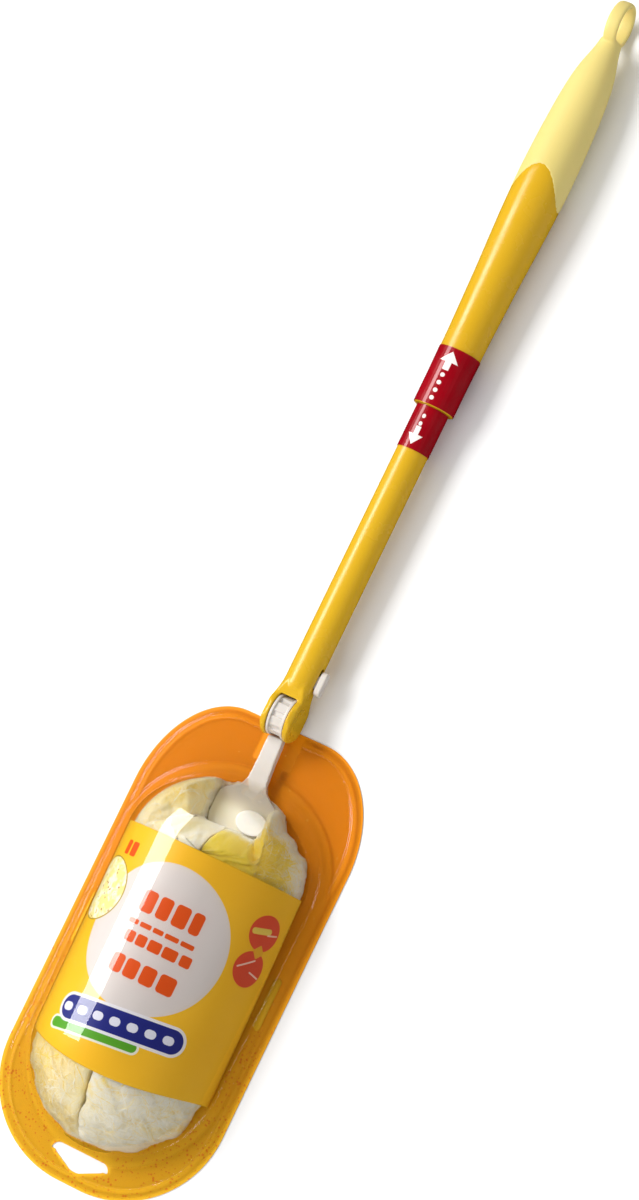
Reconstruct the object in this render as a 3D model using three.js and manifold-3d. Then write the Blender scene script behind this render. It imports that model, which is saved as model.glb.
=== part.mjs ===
// Extendable feather duster lying in its retail blister pack.
// Units mm. Origin: centre of the backing card's back face. +X along the handle towards the
// hang loop, +Z up from the card's printed front, +Y to the left when looking along +X.
import * as THREE from 'three';
import { mergeVertices } from 'three/addons/utils/BufferGeometryUtils.js';
import Module from 'manifold-3d';

const wasm = await Module();
wasm.setup();

// ---- driving dimensions ------------------------------------------------------------------
const GAP = 0.3;            // clearance between touching pieces
const CARD_HALF_LENGTH = 148;
const CARD_HALF_WIDTH = 73;
const CARD_T = 0.8;
const CARD_TOP_CORNER = [64.9, 46.1];      // elliptical corner radii, loop end
const CARD_BOTTOM_CORNER = [64.0, 65.7];   // elliptical corner radii, slot end
const SLOT_X = -131.5;      // hanging slot
const SLOT_HALF = 19;

const DOME_X0 = -124.5;     // dome footprint, slot end
const DOME_X1 = 112.5;      // dome footprint, arm end
const DOME_R0 = 58.5;       // half width at the slot end
const DOME_R1 = 61;         // half width at the arm end
const DOME_M0 = -66;        // the dome's ends are rounded beyond these
const DOME_M1 = 59;
const DOME_TOP = 56;        // apex above the table
const SHELL_T = 0.6;
const FLANGE_Z = CARD_T + GAP;
const STEP_WIDTH = 6.5;     // raised ledge around the dome
const STEP_TOP = 4.2;

const INSERT_X0 = -72;
const INSERT_X1 = 59;
const INSERT_T = 0.5;

const PIVOT_X = 152.3;
const PIVOT_Z = 17;
const EAR_R = 13.7;
const EAR_HALF_WIDTH = 9.65;
const EAR_GAP_HALF = 5.85;
const DRUM_R = 12.9;
const DRUM_HALF_WIDTH = 5.5;
const DRUM_CHANNEL_HALF = 3.9;
const PIN_R = 2.5;
const PIN_BORE_R = 2.57;

const TUBE_R = 9.8;
const TUBE_BORE_R = 8.3;
const TUBE_END = 404.5;     // distances along the handle are measured from the pivot
const MOUTH = 202;
const OUTER_BORE_R = 10.6;
const LABEL_FROM = 174;
const LABEL_TO = 239;
const LABEL_T = 0.25;
const LOOP_S = 460;
const LOOP_HOLE_R = 11.3;
const LOOP_BAND_HALF = 4.35;
// handle outline: [distance from the pivot, radius]
const HANDLE = [
  [MOUTH, 12.6], [222, 12.65], [251, 13.1], [271, 13.7], [291, 14.3], [310, 15.2], [330, 16.05],
  [349, 16.45], [359, 16.5], [369, 16.3], [379, 16.0], [388, 15.6], [398, 15.1], [407, 14.5],
  [416, 13.6], [424, 12.5], [431, 11.0], [437, 9.2], [443, 7.6], [448, 6.6],
];
const LOCK_S = 26;          // lock button centre
const LOCK_TRAVEL = 4;

// ---- helpers -----------------------------------------------------------------------------
function solid(geometry) {
  const g = geometry.clone();
  g.deleteAttribute('normal');
  g.deleteAttribute('uv');
  const m = mergeVertices(g, 1e-4);
  const p = m.attributes.position.array;
  const tri = [];
  for (let i = 0; i < m.index.count; i += 3) {
    const t = [m.index.getX(i), m.index.getX(i + 1), m.index.getX(i + 2)];
    if (t[0] !== t[1] && t[1] !== t[2] && t[2] !== t[0]) tri.push(...t);
  }
  const mesh = new wasm.Mesh({
    numProp: 3, vertProperties: new Float32Array(p), triVerts: new Uint32Array(tri),
  });
  return new wasm.Manifold(mesh);
}

function geometryOf(manifold) {
  const mesh = manifold.getMesh();
  const g = new THREE.BufferGeometry();
  const n = mesh.vertProperties.length / mesh.numProp;
  const p = new Float32Array(n * 3);
  for (let i = 0; i < n; i++) {
    for (let k = 0; k < 3; k++) p[3 * i + k] = mesh.vertProperties[i * mesh.numProp + k];
  }
  g.setAttribute('position', new THREE.BufferAttribute(p, 3));
  g.setIndex(new THREE.BufferAttribute(new Uint32Array(mesh.triVerts), 1));
  g.computeVertexNormals();
  return g;
}

// plate in the XY plane between z0 and z1
function plate(points, z0, z1) {
  const shape = new THREE.Shape(points.map(([x, y]) => new THREE.Vector2(x, y)));
  const g = new THREE.ExtrudeGeometry(shape, { depth: z1 - z0, bevelEnabled: false });
  g.translate(0, 0, z0);
  return solid(g);
}

// profile in the XZ plane, extruded between y0 and y1
function wall(points, y0, y1) {
  const shape = new THREE.Shape(points.map(([x, z]) => new THREE.Vector2(x, z)));
  const g = new THREE.ExtrudeGeometry(shape, { depth: y1 - y0, bevelEnabled: false });
  g.rotateX(Math.PI / 2);
  g.translate(0, y1, 0);
  return solid(g);
}

function box(x0, x1, y0, y1, z0, z1) {
  const g = new THREE.BoxGeometry(x1 - x0, y1 - y0, z1 - z0);
  g.translate((x0 + x1) / 2, (y0 + y1) / 2, (z0 + z1) / 2);
  return solid(g);
}

// block with rounded vertical edges, r in the XY plane
function roundedRect(cx, cy, hx, hy, r, n = 5) {
  const pts = [];
  for (const [sx, sy, a0] of [[1, 1, 0], [-1, 1, 90], [-1, -1, 180], [1, -1, 270]]) {
    for (let i = 0; i <= n; i++) {
      const a = THREE.MathUtils.degToRad(a0 + 90 * i / n);
      pts.push([cx + sx * (hx - r) + r * Math.cos(a), cy + sy * (hy - r) + r * Math.sin(a)]);
    }
  }
  return pts;
}

// body of revolution about the handle axis; profile points are [s, r], starting and ending on
// the axis or closing on themselves
function turned(profile, seg = 36) {
  const g = new THREE.LatheGeometry(profile.map(([s, r]) => new THREE.Vector2(r, s)), seg);
  g.rotateZ(-Math.PI / 2);
  g.translate(PIVOT_X, 0, PIVOT_Z);
  const m = solid(g);
  return m.volume() < 0 ? flipped(g) : m;
}

function flipped(g) {
  const f = mergeVertices(stripped(g), 1e-4);
  const a = f.index.array;
  for (let i = 0; i < a.length; i += 3) [a[i + 1], a[i + 2]] = [a[i + 2], a[i + 1]];
  return solid(f);
}

function stripped(g) {
  const f = g.clone();
  f.deleteAttribute('normal');
  f.deleteAttribute('uv');
  return f;
}

function rod(s0, s1, r, seg = 36) {
  return turned([[s0, 0], [s0, r], [s1, r], [s1, 0]], seg);
}

function pipe(s0, s1, r0, r1, seg = 36) {
  return rod(s0, s1, r1, seg).subtract(rod(s0 - 1, s1 + 1, r0, seg));
}

// disc about an axis parallel to Y
function disc(cx, cz, r, y0, y1, seg = 40) {
  const g = new THREE.CylinderGeometry(r, r, y1 - y0, seg);
  g.translate(cx, (y0 + y1) / 2, cz);
  return solid(g);
}

function handleRadius(s) {
  for (let i = 1; i < HANDLE.length; i++) {
    const [a, ra] = HANDLE[i - 1];
    const [b, rb] = HANDLE[i];
    if (s <= b) return ra + (rb - ra) * Math.max(0, (s - a) / (b - a));
  }
  return HANDLE[HANDLE.length - 1][1];
}

// ---- backing card ------------------------------------------------------------------------
function cardOutline(inset, n = 10) {
  const half = [];
  const w = CARD_HALF_WIDTH - inset;
  const l = CARD_HALF_LENGTH - inset;
  const [ax, ay] = CARD_TOP_CORNER.map((v) => v - inset);
  const [bx, by] = CARD_BOTTOM_CORNER.map((v) => v - inset);
  for (let i = 0; i <= n; i++) {
    const t = (Math.PI / 2) * i / n;
    half.push([l - ax + ax * Math.cos(t), w - ay + ay * Math.sin(t)]);
  }
  for (let i = 0; i <= n; i++) {
    const t = (Math.PI / 2) * i / n;
    half.push([-l + bx - bx * Math.sin(t), w - by + by * Math.cos(t)]);
  }
  return half.concat(half.map(([x, y]) => [x, -y]).reverse());
}

// triangular hanging slot with rounded ends; the point faces the card's end
function slotOutline(grow) {
  const h = SLOT_HALF + grow;
  const a = 4 + grow;
  return [
    [SLOT_X + a, -h + 5], [SLOT_X + a, h - 5], [SLOT_X + a - 1.5, h - 1.5], [SLOT_X + a - 4.5, h],
    [SLOT_X - 1 - grow, h - 2.5], [SLOT_X - 7.6 - grow, 4], [SLOT_X - 8.4 - grow, 0],
    [SLOT_X - 7.6 - grow, -4], [SLOT_X - 1 - grow, -h + 2.5], [SLOT_X + a - 4.5, -h],
    [SLOT_X + a - 1.5, -h + 1.5],
  ];
}

function backingCard() {
  return plate(cardOutline(0), 0, CARD_T).subtract(plate(slotOutline(0), -1, CARD_T + 1));
}

// ---- dome family: blister shell, insert card and fluff share one form ----------------------
// off grows the form outwards; lump(u, v) pulls the surface inwards, u around, v up
function domeForm(off, base, lump = null, nEnd = 12, nSide = 5, nUp = 9) {
  const m0 = DOME_M0;
  const m1 = DOME_M1;
  const cols = [];
  for (let i = 0; i < nEnd; i++) cols.push([m1, DOME_R1, -90 + 180 * i / nEnd]);
  for (let i = 0; i < nSide; i++) {
    const t = i / nSide;
    cols.push([m1 + (m0 - m1) * t, DOME_R1 + (DOME_R0 - DOME_R1) * t, 90]);
  }
  for (let i = 0; i < nEnd; i++) cols.push([m0, DOME_R0, 90 + 180 * i / nEnd]);
  for (let i = 0; i < nSide; i++) {
    const t = i / nSide;
    cols.push([m0 + (m1 - m0) * t, DOME_R0 + (DOME_R1 - DOME_R0) * t, 270]);
  }
  const height = DOME_TOP + off - base;
  const pos = [];
  const idx = [];
  const rows = nUp + 1;
  cols.forEach(([mx, r, deg], ci) => {
    const a = THREE.MathUtils.degToRad(deg);
    for (let k = 0; k <= nUp; k++) {
      const e = (Math.PI / 2) * k / nUp;
      const pull = lump ? lump(ci / cols.length, k / nUp) : 0;
      const rr = (r + off - pull * Math.cos(e)) * Math.pow(Math.cos(e), 0.92);
      const z = base + (height - pull) * Math.pow(Math.sin(e), 0.92);
      const flat = k === nUp ? 0 : rr;
      const along = deg < 90 ? (DOME_X1 - DOME_M1) / DOME_R1 : (DOME_M0 - DOME_X0) / DOME_R0;
      pos.push(mx + along * flat * Math.cos(a), flat * Math.sin(a),
        k === nUp ? base + height : z);
    }
    pos.push(mx, 0, base);
  });
  const stride = rows + 1;
  for (let c = 0; c < cols.length; c++) {
    const d = (c + 1) % cols.length;
    for (let k = 0; k < nUp; k++) {
      const p = c * stride + k;
      const q = d * stride + k;
      idx.push(p, q, q + 1, p, q + 1, p + 1);
    }
    idx.push(c * stride, c * stride + rows, d * stride + rows);
    idx.push(c * stride, d * stride + rows, d * stride);
  }
  const g = new THREE.BufferGeometry();
  g.setAttribute('position', new THREE.Float32BufferAttribute(pos, 3));
  g.setIndex(idx);
  return solid(g);
}

// plan outline of the dome, grown by off
function domeOutline(off, n = 12) {
  const pts = [];
  for (let i = 0; i <= n; i++) {
    const a = -Math.PI / 2 + Math.PI * i / n;
    pts.push([DOME_M1 + (DOME_X1 - DOME_M1 + off) * Math.cos(a), (DOME_R1 + off) * Math.sin(a)]);
  }
  for (let i = 0; i <= n; i++) {
    const a = Math.PI / 2 + Math.PI * i / n;
    pts.push([DOME_M0 + (DOME_M0 - DOME_X0 + off) * Math.cos(a), (DOME_R0 + off) * Math.sin(a)]);
  }
  return pts;
}

function blisterShell() {
  const z0 = FLANGE_Z;
  const z1 = FLANGE_Z + SHELL_T;
  const bead = (a, b, top) => plate(cardOutline(a), z0 - 1, top).subtract(
    plate(cardOutline(b), z0 - 2, top + 1));
  const outer = plate(cardOutline(1.5), z0, z1)
    .add(bead(4, 7.4, z1 + 1.4).intersect(box(-200, 200, -100, 100, z0, 60)))
    .add(plate(domeOutline(STEP_WIDTH), z0, STEP_TOP))
    .add(domeForm(0, z0));
  const inner = bead(4.6, 6.8, z1 + 0.8)
    .add(plate(domeOutline(STEP_WIDTH - SHELL_T), z0 - 1, STEP_TOP - SHELL_T))
    .add(domeForm(-SHELL_T, z0 - 1));
  return outer.subtract(inner)
    .subtract(plate(slotOutline(1.2), -1, 10))
    .subtract(box(98, 160, -8.6, 8.6, -1, 17))
    .subtract(box(124, 160, -13, 13, -1, 60));
}

function insertCard() {
  const bent = domeForm(-1.1, FLANGE_Z).subtract(domeForm(-1.1 - INSERT_T, FLANGE_Z - 1));
  const edge = [[INSERT_X1, -90], [INSERT_X1, 90]];
  for (let i = 0; i <= 12; i++) {
    const y = 60 - 10 * i;
    edge.push([INSERT_X0 - 9 * (1 - (y / 60) ** 2), y]);
  }
  const keep = plate(edge, FLANGE_Z, 70);
  const tab = (sy) => plate(
    roundedRect(-3.5, sy * 61.3, 16.5, 3.4, 2.2), FLANGE_Z, FLANGE_Z + INSERT_T);
  return bent.intersect(keep).add(tab(1)).add(tab(-1));
}

// ---- fork, stud and ratchet drum ---------------------------------------------------------
const PRONG_TIP = -92;
const ROOT_X0 = 80;
const FORK_Z = 5.6;
const FORK_T = 4;
const STUD_X = 87.5;
const STUD_Y = -8.8;

function fork() {
  const half = [
    [PIVOT_X - 6, 4.95], [138, 4.95], [124, 5.4], [112, 6.2], [107, 8.5], [103.5, 13.2],
    [101, 17.2], [98.5, 18.9], [95, 19.4], [84, 19.4], [76, 16.4], [PRONG_TIP + 4, 15],
    [PRONG_TIP + 1, 14], [PRONG_TIP, 11.6], [PRONG_TIP + 1, 9.2], [PRONG_TIP + 4, 8.2],
    [ROOT_X0 - 8, 7.4], [ROOT_X0 - 4, 4.2], [ROOT_X0 - 3, 0],
  ];
  const outline = half.concat(half.slice(0, -1).map(([x, y]) => [x, -y]).reverse());
  const side = [
    [PRONG_TIP - 1, FORK_Z], [104, FORK_Z], [116, 6.2], [132, 7.6], [148, 9.4],
    [148, 16], [132, 13.8], [116, 11.4], [104, FORK_Z + FORK_T], [PRONG_TIP - 1, FORK_Z + FORK_T],
  ];
  return plate(outline, 0, 40).intersect(wall(side, -30, 30))
    .subtract(disc(PIVOT_X, PIVOT_Z, DRUM_R + GAP, -20, 20));
}

function forkStud() {
  const pts = [];
  for (let i = 0; i < 32; i++) {
    const a = 2 * Math.PI * i / 32;
    pts.push([STUD_X + 6.6 * Math.cos(a), STUD_Y + 9.4 * Math.sin(a)]);
  }
  const z = FORK_Z + FORK_T + GAP;
  const g = new THREE.ExtrudeGeometry(
    new THREE.Shape(pts.map(([x, y]) => new THREE.Vector2(x, y))),
    { depth: 1.6, bevelThickness: 0.8, bevelSize: 0.8, bevelSegments: 2 });
  g.translate(0, 0, z + 0.8);
  return solid(g);
}

function ratchetDrum() {
  const teeth = [];
  const count = 8;
  for (let i = 0; i < count; i++) {
    const a = 2 * Math.PI * i / count;
    const w = 2 * Math.PI / count;
    for (const [f, r] of [[0, 10.8], [0.28, 10.8], [0.35, 11.9], [0.93, 11.9]]) {
      teeth.push([PIVOT_X + r * Math.cos(a + f * w), PIVOT_Z + r * Math.sin(a + f * w)]);
    }
  }
  return wall(teeth, -DRUM_HALF_WIDTH, DRUM_HALF_WIDTH)
    .add(disc(PIVOT_X, PIVOT_Z, DRUM_R, DRUM_CHANNEL_HALF, DRUM_HALF_WIDTH))
    .add(disc(PIVOT_X, PIVOT_Z, DRUM_R, -DRUM_HALF_WIDTH, -DRUM_CHANNEL_HALF))
    .subtract(disc(PIVOT_X, PIVOT_Z, PIN_BORE_R, -20, 20));
}

// ---- refill: sleeve around the prongs and six fluff lobes ----------------------------------
function refillSleeve() {
  const z0 = FORK_Z - 2.2;
  const z1 = FORK_Z + FORK_T + 2.2;
  const body = plate(roundedRect(-13, 0, 86, 21, 6), z0, z1);
  const channel = (sy) => plate(
    roundedRect(-5, sy * 11.9, 92, 5.4, 1.5), FORK_Z - 0.5, FORK_Z + FORK_T + 0.5);
  return body.subtract(channel(1)).subtract(channel(-1));
}

const LOBES = {
  fluff_arm_left: [31, 125, 1], fluff_arm_right: [31, 125, -1],
  fluff_mid_left: [-61, 30, 1], fluff_mid_right: [-61, 30, -1],
  fluff_tip_left: [-130, -62, 1], fluff_tip_right: [-130, -62, -1],
};

function lobes() {
  const lump = (u, v) => (v > 0.98 ? 0 : 1.6 + 1.5 * Math.sin(u * 2 * Math.PI * 17)
    * Math.cos(v * 9) * (1 - v));
  const mass = domeForm(-2.4, 3.4, lump, 16, 11, 10);
  const room = box(-100, 76.5, -22, 22, FORK_Z - 3, FORK_Z + FORK_T + 3)
    .add(box(71, 126, -20.3, 20.3, FORK_Z - 1, 60))
    .add(box(95, 130, -8.5, 8.5, 0, 20));
  const soft = mass.subtract(room);
  const out = {};
  for (const [name, [x0, x1, sy]] of Object.entries(LOBES)) {
    const y = sy > 0 ? [0.5, 80] : [-80, -0.5];
    out[name] = soft.intersect(box(x0, x1, y[0], y[1], 0, 60));
  }
  return out;
}

// ---- inner tube with its yoke, and what is fixed in it -------------------------------------
function innerTube() {
  const yoke = [];
  for (let i = 0; i <= 30; i++) {
    const a = THREE.MathUtils.degToRad(42 + 276 * i / 30);
    yoke.push([PIVOT_X + EAR_R * Math.cos(a), PIVOT_Z + EAR_R * Math.sin(a)]);
  }
  yoke.push([PIVOT_X + 15, PIVOT_Z - 8.4], [PIVOT_X + 22, PIVOT_Z - 8.4]);
  yoke.push([PIVOT_X + 22, PIVOT_Z + 8.4], [PIVOT_X + 15, PIVOT_Z + 8.4]);
  const flat = [[PIVOT_X - 14, -8.4], [PIVOT_X - 9, -9.4], [PIVOT_X - 3, -EAR_HALF_WIDTH],
    [PIVOT_X + 8, -EAR_HALF_WIDTH], [PIVOT_X + 15, -9.1], [PIVOT_X + 23, -9.1]];
  const plan = flat.concat(flat.map(([x, y]) => [x, -y]).reverse());
  const taper = turned([[-16, 0], [-16, 16], [7, 15], [11, 12.8], [15, 11.2], [19, 10.2],
    [23, 9.84], [23, 0]]);
  const ears = wall(yoke, -20, 20).intersect(plate(plan, -20, 60)).intersect(taper);
  const body = turned([[17, 0], [17, 9.0], [20, TUBE_R], [388, TUBE_R], [388, 9.1], [400, 9.1],
    [400, TUBE_R], [TUBE_END, TUBE_R], [TUBE_END, 0]]);
  const slot = LOCK_S - 4.4;
  const capY = EAR_HALF_WIDTH - 0.7;
  return body.add(ears)
    .subtract(rod(24, TUBE_END + 1, TUBE_BORE_R))
    .subtract(disc(PIVOT_X, PIVOT_Z, 14.3, -EAR_GAP_HALF, EAR_GAP_HALF))
    .subtract(box(PIVOT_X - 20, PIVOT_X + 9, -EAR_GAP_HALF, EAR_GAP_HALF, 0, 60))
    .subtract(disc(PIVOT_X, PIVOT_Z, PIN_BORE_R, -20, 20))
    .subtract(disc(PIVOT_X, PIVOT_Z, 8.8, capY, 20))
    .subtract(disc(PIVOT_X, PIVOT_Z, 8.8, -20, -capY))
    .subtract(box(PIVOT_X + 10, PIVOT_X + 30, -3.4, 3.4, PIVOT_Z - 3, PIVOT_Z + 3))
    .subtract(box(PIVOT_X + slot, PIVOT_X + slot + 8.8 + LOCK_TRAVEL, -12, -2,
      PIVOT_Z - 2.4, PIVOT_Z + 2.4));
}

function pivotPin() {
  return disc(PIVOT_X, PIVOT_Z, PIN_R, -EAR_HALF_WIDTH + 1.1, EAR_HALF_WIDTH - 1.1);
}

function pivotCap(sy) {
  const y0 = EAR_HALF_WIDTH - 0.5;
  const y1 = EAR_HALF_WIDTH + 0.35;
  const g = new THREE.CylinderGeometry(8.0, 8.5, y1 - y0, 40);
  if (sy < 0) g.rotateX(Math.PI);
  g.translate(PIVOT_X, sy * (y0 + y1) / 2, PIVOT_Z);
  return solid(g);
}

function lockSlider() {
  const z = PIVOT_Z;
  const x = PIVOT_X + LOCK_S;
  const shape = new THREE.Shape(
    roundedRect(0, 0, 6.9, 2.7, 2.4, 4).map(([a, b]) => new THREE.Vector2(a, b)));
  const head = new THREE.ExtrudeGeometry(shape,
    { depth: 2.6, bevelThickness: 0.7, bevelSize: 0.7, bevelSegments: 2 });
  head.rotateX(Math.PI / 2);
  head.translate(x, -10.9, z);
  return solid(head).add(box(x - 4, x + 4, -11.5, -3.5, z - 2.1, z + 2.1));
}

function lockPawl() {
  const z = PIVOT_Z;
  const x = PIVOT_X;
  const profile = [[x + 12.5, z - 0.9], [x + 14.2, z - 2.6], [x + 33, z - 2.6], [x + 33, z + 2.6],
    [x + 14.2, z + 2.6], [x + 12.5, z + 0.9]];
  return wall(profile, -3, 3);
}

function pawlSpring() {
  class Helix extends THREE.Curve {
    getPoint(t, target = new THREE.Vector3()) {
      const a = t * 5 * 2 * Math.PI;
      return target.set(PIVOT_X + 33.9 + 15.6 * t, 2.9 * Math.cos(a), PIVOT_Z + 2.9 * Math.sin(a));
    }
  }
  const section = [];
  for (let i = 0; i < 5; i++) {
    const a = 2 * Math.PI * i / 5;
    section.push(new THREE.Vector2(0.45 * Math.cos(a), 0.45 * Math.sin(a)));
  }
  return solid(new THREE.ExtrudeGeometry(new THREE.Shape(section),
    { steps: 55, extrudePath: new Helix(), bevelEnabled: false }));
}

function springSeat() {
  return rod(50.2, 54, TUBE_BORE_R - 0.25).add(rod(46, 51, 1.8, 20));
}

function frictionBush() {
  return pipe(388.4, 399.6, 9.35, 10.4);
}

function tubeEndPlug() {
  return rod(397, TUBE_END + GAP, TUBE_BORE_R - GAP).add(rod(TUBE_END + GAP, TUBE_END + 2, 9.4));
}

// ---- outer tube, grip and labels -----------------------------------------------------------
function handleBody() {
  return turned([[MOUTH, 0], ...HANDLE, [448, 0]], 36);
}

// region behind the wavy edge between tube and grip, pushed along by gap
function gripRegion(gap) {
  const n = 36;
  const pos = [];
  const idx = [];
  for (let i = 0; i < n; i++) {
    const a = 2 * Math.PI * i / n;
    const lift = Math.cos(2 * a);
    const s = 349.5 + gap + 10.5 * lift;
    const y = 30 * Math.sin(a);
    const z = 30 * Math.cos(a);
    pos.push(PIVOT_X + s, y, PIVOT_Z + z, PIVOT_X + 520, y, PIVOT_Z + z);
  }
  pos.push(PIVOT_X + 349.5 + gap, 0, PIVOT_Z, PIVOT_X + 520, 0, PIVOT_Z);
  for (let i = 0; i < n; i++) {
    const j = (i + 1) % n;
    idx.push(2 * i, 2 * j + 1, 2 * i + 1, 2 * i, 2 * j, 2 * j + 1);
    idx.push(2 * n, 2 * j, 2 * i, 2 * n + 1, 2 * i + 1, 2 * j + 1);
  }
  const g = new THREE.BufferGeometry();
  g.setAttribute('position', new THREE.Float32BufferAttribute(pos, 3));
  g.setIndex(idx);
  const m = solid(g);
  return m.volume() < 0 ? flipped(g) : m;
}

function outerTube() {
  return handleBody().subtract(gripRegion(0)).add(rod(340, 396, 12.2))
    .subtract(rod(MOUTH - 1, 409, OUTER_BORE_R))
    .subtract(rod(MOUTH - 1, 213.5, 11.4));
}

function grip() {
  const x = PIVOT_X + LOOP_S;
  const band = [];
  for (let i = 0; i <= 14; i++) {
    const a = 2 * Math.PI * i / 14;
    const c = Math.sign(Math.cos(a)) * Math.abs(Math.cos(a)) ** 0.7;
    const s = Math.sign(Math.sin(a)) * Math.abs(Math.sin(a)) ** 0.7;
    band.push(new THREE.Vector2(LOOP_HOLE_R + 1.8 + 1.8 * c, LOOP_BAND_HALF * s));
  }
  const ring = new THREE.LatheGeometry(band, 36);
  ring.translate(x, 0, PIVOT_Z);
  return handleBody().intersect(gripRegion(GAP))
    .subtract(rod(MOUTH, 396.4, 12.5))
    .subtract(rod(MOUTH, 409, OUTER_BORE_R))
    .subtract(disc(x, PIVOT_Z, LOOP_HOLE_R + 0.4, -12, 12))
    .add(solid(ring));
}

function mouthBush() {
  return pipe(MOUTH + 0.4, 213.2, 10.05, 11.15);
}

function labelUpper() {
  const s0 = MOUTH + 0.4;
  const steps = [s0, 222, LABEL_TO];
  const outer = steps.map((s) => [s, handleRadius(s) + 0.12 + LABEL_T]);
  const inner = steps.map((s) => [s, handleRadius(s) + 0.12]);
  return turned([[s0, 0], ...outer, [LABEL_TO, 0]]).subtract(
    turned([[s0 - 1, 0], [s0 - 1, inner[0][1]], ...inner, [LABEL_TO + 1, inner[2][1]],
      [LABEL_TO + 1, 0]]));
}

function labelLower() {
  return pipe(LABEL_FROM, MOUTH - 0.4, TUBE_R + 0.12, TUBE_R + 0.12 + LABEL_T);
}

// ---- assembly ----------------------------------------------------------------------------
const duster = new THREE.Group();
duster.name = 'feather_duster';

function add(name, manifold, color, roughness, opacity = 1) {
  const material = new THREE.MeshStandardMaterial({ color, roughness, metalness: 0 });
  if (opacity < 1) Object.assign(material, { transparent: true, opacity });
  const mesh = new THREE.Mesh(geometryOf(manifold), material);
  mesh.name = name;
  duster.add(mesh);
  return mesh;
}

add('backing_card', backingCard(), 0xe68a20, 0.6);
add('blister_shell', blisterShell(), 0xf2f6f8, 0.1, 0.3);
add('insert_card', insertCard(), 0xf0bd2c, 0.6);
add('fork', fork(), 0xeeeae4, 0.35);
add('fork_stud', forkStud(), 0xf4f2ee, 0.3);
add('ratchet_drum', ratchetDrum(), 0xf0ece6, 0.35);
add('refill_sleeve', refillSleeve(), 0xf6f2e0, 0.9);
for (const [name, body] of Object.entries(lobes())) add(name, body, 0xfbf0a8, 0.95);
add('inner_tube', innerTube(), 0xf0b429, 0.4);
add('pivot_pin', pivotPin(), 0xb8b8b8, 0.3).material.metalness = 1;
add('pivot_cap_left', pivotCap(1), 0xf0b429, 0.4);
add('pivot_cap_right', pivotCap(-1), 0xf0b429, 0.4);
add('friction_bush', frictionBush(), 0xe8e6e0, 0.5);
add('tube_end_plug', tubeEndPlug(), 0xe8e6e0, 0.5);
add('spring_seat', springSeat(), 0xe8e6e0, 0.5);
add('label_lower', labelLower(), 0xb40c1e, 0.35);
add('lock_slider', lockSlider(), 0xf2efea, 0.35);
add('lock_pawl', lockPawl(), 0xf2efea, 0.35);
add('pawl_spring', pawlSpring(), 0xb8b8b8, 0.3).material.metalness = 1;
add('outer_tube', outerTube(), 0xf0b429, 0.4);
add('mouth_bush', mouthBush(), 0xd99a1c, 0.5);
add('grip', grip(), 0xf3e48c, 0.7);
add('label_upper', labelUpper(), 0xb40c1e, 0.35);

export default duster;
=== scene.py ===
import math
import bpy
import bmesh
import numpy as np
from mathutils import Vector, Matrix
from mathutils.bvhtree import BVHTree


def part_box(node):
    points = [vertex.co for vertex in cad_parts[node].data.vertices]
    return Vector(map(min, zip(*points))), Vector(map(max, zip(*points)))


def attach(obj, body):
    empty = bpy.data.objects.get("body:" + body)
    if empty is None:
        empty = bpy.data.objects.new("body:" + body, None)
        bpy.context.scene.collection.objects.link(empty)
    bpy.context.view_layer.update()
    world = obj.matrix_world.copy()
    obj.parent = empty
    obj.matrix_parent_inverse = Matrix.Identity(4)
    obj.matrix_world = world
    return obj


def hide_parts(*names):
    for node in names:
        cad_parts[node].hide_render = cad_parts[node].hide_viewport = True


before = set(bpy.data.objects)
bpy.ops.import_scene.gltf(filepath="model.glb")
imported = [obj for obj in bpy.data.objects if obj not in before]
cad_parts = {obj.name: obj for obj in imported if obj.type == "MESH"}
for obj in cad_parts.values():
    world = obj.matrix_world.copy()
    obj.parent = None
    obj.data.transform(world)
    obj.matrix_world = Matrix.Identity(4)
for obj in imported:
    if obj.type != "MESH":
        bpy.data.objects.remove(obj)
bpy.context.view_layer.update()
MM = 0.001


# ---- sizes, in millimetres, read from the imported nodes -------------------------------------
def box_mm(node):
    lo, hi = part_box(node)
    return np.array(lo) * 1000, np.array(hi) * 1000


CARD = box_mm("backing_card")
SHELL = box_mm("blister_shell")
DRUM = box_mm("ratchet_drum")
GRIP = box_mm("grip")
PX = (DRUM[0][0] + DRUM[1][0]) / 2      # the hinge, and the height of the handle's axis
PZ = (DRUM[0][2] + DRUM[1][2]) / 2
CARD_TOP = CARD[1][2]
DOME_TOP = SHELL[1][2]
# the dome: centres of its two ends, their half widths, its ends along x, and its foot
M0, M1 = -66.0, 59.0
R0, R1 = 58.5, 61.0
X0, X1 = -124.5, 112.5
BASE = CARD_TOP + 0.3
SQUARE = 0.92           # power of the dome's slightly squared quarter arc
FILM_Z, SEAL_Z = 4.2, 1.7       # ledge round the dome, and the film sealed to the card
TUBE_R = 9.8


# ---- node helpers --------------------------------------------------------------------------
def lin(rgb):
    out = []
    for c in rgb:
        c = c / 255
        out.append(c / 12.92 if c <= 0.04045 else ((c + 0.055) / 1.055) ** 2.4)
    return (*out, 1.0)


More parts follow.
